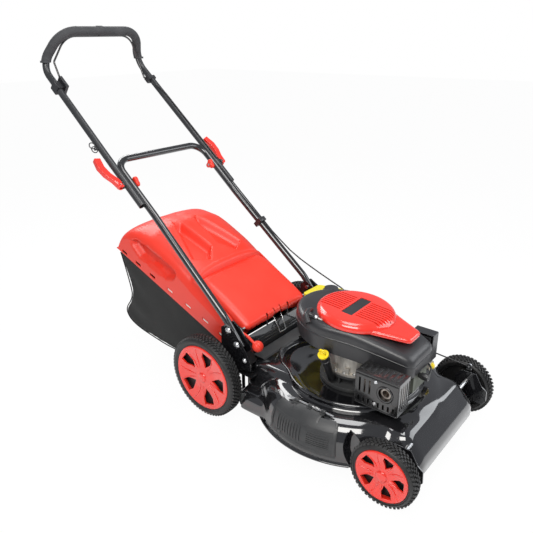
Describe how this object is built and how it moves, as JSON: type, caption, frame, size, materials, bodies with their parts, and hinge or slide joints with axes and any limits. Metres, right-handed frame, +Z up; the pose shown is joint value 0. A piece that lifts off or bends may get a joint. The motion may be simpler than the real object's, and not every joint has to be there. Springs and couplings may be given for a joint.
{
  "type": "push lawn mower",
  "caption": "Walk-behind petrol lawn mower with a pressed deck, upright engine, folding handle and rear clippings bag.",
  "frame": {"origin": "on the ground under the centre of the overall box", "axes": "+X is the way the mower is pushed, +Y its left side, +Z up"},
  "size_m": [1.612, 0.644, 1.241],
  "materials": {
    "deck_gloss": "gloss",
    "satin_black": "satin",
    "tube_black": "satin",
    "zinc": "satin",
    "cast": "matt",
    "steel": "satin",
    "silencer": "matt",
    "red_plastic": "satin",
    "red_gloss": "gloss",
    "black_plastic": "matt",
    "dark_plastic": "matt",
    "yellow_plastic": "gloss",
    "tyre": "matt",
    "foam": "matt",
    "cable": "satin",
    "fabric": "woven",
    "ceramic": "gloss"
  },
  "bodies": {
    "deck": {"deck_shell": "deck_gloss", "rear_housing": "deck_gloss", "handle_bracket_right": "deck_gloss", "handle_bracket_left": "deck_gloss", "front_brackets": "deck_gloss", "deck_bolts": "zinc", "hinge_rods": "zinc", "hinge_springs": "zinc", "sump": "cast", "crankcase": "cast", "cylinder_head": "cast", "blower_shroud": "black_plastic", "top_cover": "red_gloss", "fuel_tank": "yellow_plastic", "oil_filler": "black_plastic", "muffler": "silencer", "muffler_guard": "satin_black", "air_filter": "black_plastic", "carburettor": "cast", "spark_plug": "ceramic", "handle_lower": "tube_black", "cable_clip": "black_plastic", "brake_cable_lower": "cable"},
    "side_cover": {"discharge_cover": "dark_plastic"},
    "flap": {"rear_flap": "red_plastic"},
    "lever": {"height_lever": "red_plastic"},
    "rear_crank": {"rear_axle": "zinc"},
    "front_crank": {"front_axle": "zinc"},
    "link": {"height_link": "satin_black"},
    "wheel_rear_right": {"tyre_rear_right": "tyre", "rim_rear_right": "red_gloss"},
    "wheel_rear_left": {"tyre_rear_left": "tyre", "rim_rear_left": "red_gloss"},
    "wheel_front_right": {"tyre_front_right": "tyre", "rim_front_right": "red_gloss"},
    "wheel_front_left": {"tyre_front_left": "tyre", "rim_front_left": "red_gloss"},
    "rotor": {"flywheel": "cast", "crankshaft": "steel", "blade_adapter": "steel", "blade": "steel", "blade_bolt": "steel"},
    "starter": {"starter_grip": "black_plastic"},
    "cap": {"fuel_cap": "black_plastic"},
    "oil_stick": {"dipstick": "yellow_plastic"},
    "primer": {"primer_bulb": "yellow_plastic"},
    "handle_top": {"handle_upper": "tube_black", "handle_grip": "foam", "control_box": "black_plastic", "rope_guide": "tube_black", "brake_cable_upper": "cable", "fold_bolts": "zinc"},
    "cam_right": {"cam_lever_right": "red_plastic"},
    "cam_left": {"cam_lever_left": "red_plastic"},
    "knob_right": {"wing_knob_right": "red_plastic"},
    "knob_left": {"wing_knob_left": "red_plastic"},
    "bail_bar": {"bail": "tube_black"},
    "bag": {"bag_frame": "tube_black", "bag_lid": "red_plastic", "bag_fabric": "fabric"}
  },
  "joints": [
    {"name": "height_rear", "type": "hinge", "parent": "deck", "child": "rear_crank", "pos_m": [0.06, 0, 0.187], "axis": [0, 1, 0], "range_deg": [0, 45]},
    {"name": "height_front", "type": "hinge", "parent": "deck", "child": "front_crank", "pos_m": [0.73, 0, 0.143], "axis": [0, 1, 0], "range_deg": [0, 45]},
    {"name": "height_tie", "type": "hinge", "parent": "rear_crank", "child": "link", "pos_m": [0.06, 0.2398, 0.237], "axis": [0, 1, 0], "range_deg": [-45, 0]},
    {"name": "height_select", "type": "hinge", "parent": "deck", "child": "lever", "pos_m": [0.076, -0.193, 0.225], "axis": [0, 1, 0], "range_deg": [0, 20]},
    {"name": "spin_rear_right", "type": "hinge", "parent": "rear_crank", "child": "wheel_rear_right", "pos_m": [0.036, -0.279, 0.144], "axis": [0, 1, 0], "continuous": true},
    {"name": "spin_rear_left", "type": "hinge", "parent": "rear_crank", "child": "wheel_rear_left", "pos_m": [0.036, 0.279, 0.144], "axis": [0, 1, 0], "continuous": true},
    {"name": "spin_front_right", "type": "hinge", "parent": "front_crank", "child": "wheel_front_right", "pos_m": [0.706, -0.276, 0.1], "axis": [0, 1, 0], "continuous": true},
    {"name": "spin_front_left", "type": "hinge", "parent": "front_crank", "child": "wheel_front_left", "pos_m": [0.706, 0.276, 0.1], "axis": [0, 1, 0], "continuous": true},
    {"name": "side_cover_lift", "type": "hinge", "parent": "deck", "child": "side_cover", "pos_m": [0.441, -0.25, 0.186], "axis": [1, 0, 0], "range_deg": [-80, 0], "stiffness_Nm_per_rad": 0.12, "springref_deg": 20.05},
    {"name": "flap_lift", "type": "hinge", "parent": "deck", "child": "flap", "pos_m": [0.108, 0, 0.298], "axis": [0, 1, 0], "range_deg": [0, 65], "stiffness_Nm_per_rad": 0.5, "springref_deg": -28.65},
    {"name": "handle_fold", "type": "hinge", "parent": "deck", "child": "handle_top", "pos_m": [-0.366, 0, 0.728], "axis": [0, 1, 0], "range_deg": [0, 150]},
    {"name": "cam_right_throw", "type": "hinge", "parent": "handle_top", "child": "cam_right", "pos_m": [-0.366, -0.2525, 0.728], "axis": [0.6508, 0, 0.7593], "range_deg": [0, 105]},
    {"name": "cam_left_throw", "type": "hinge", "parent": "handle_top", "child": "cam_left", "pos_m": [-0.366, 0.2525, 0.728], "axis": [0.6508, 0, 0.7593], "range_deg": [-105, 0]},
    {"name": "knob_right_turn", "type": "hinge", "parent": "handle_top", "child": "knob_right", "pos_m": [-0.366, -0.185, 0.728], "axis": [0, 1, 0], "continuous": true},
    {"name": "knob_left_turn", "type": "hinge", "parent": "handle_top", "child": "knob_left", "pos_m": [-0.366, 0.185, 0.728], "axis": [0, 1, 0], "continuous": true},
    {"name": "bail_swing", "type": "hinge", "parent": "handle_top", "child": "bail_bar", "pos_m": [-0.734, 0, 1.04], "axis": [0, 1, 0], "range_deg": [-20, 0], "stiffness_Nm_per_rad": 0.5, "springref_deg": 20.05},
    {"name": "crank_spin", "type": "hinge", "parent": "deck", "child": "rotor", "pos_m": [0.441, 0, 0.15], "axis": [0, 0, 1], "continuous": true},
    {"name": "starter_pull", "type": "slide", "parent": "deck", "child": "starter", "axis": [-0.911, -0.2824, 0.3006], "range_m": [0, 0.2], "stiffness_N_per_m": 12, "springref_m": -0.05},
    {"name": "fuel_cap_turn", "type": "hinge", "parent": "deck", "child": "cap", "pos_m": [0.268, 0.114, 0.377], "axis": [0, 0, 1], "continuous": true},
    {"name": "dipstick_draw", "type": "slide", "parent": "deck", "child": "oil_stick", "axis": [-0.0086, -0.4299, 0.9028], "range_m": [0, 0.12]},
    {"name": "primer_press", "type": "slide", "parent": "deck", "child": "primer", "axis": [-1, 0, 0], "range_m": [0, 0.006], "stiffness_N_per_m": 400, "springref_m": -0.002},
    {"name": "bag_draw", "type": "slide", "parent": "deck", "child": "bag", "axis": [-1, 0, 0], "range_m": [0, 0.4]}
  ],
  "couplings": [
    {"joint": "height_front", "follows": "height_rear", "ratio": 1},
    {"joint": "height_tie", "follows": "height_rear", "ratio": -1},
    {"joint": "height_select", "follows": "height_rear", "ratio": 0.44444}
  ]
}
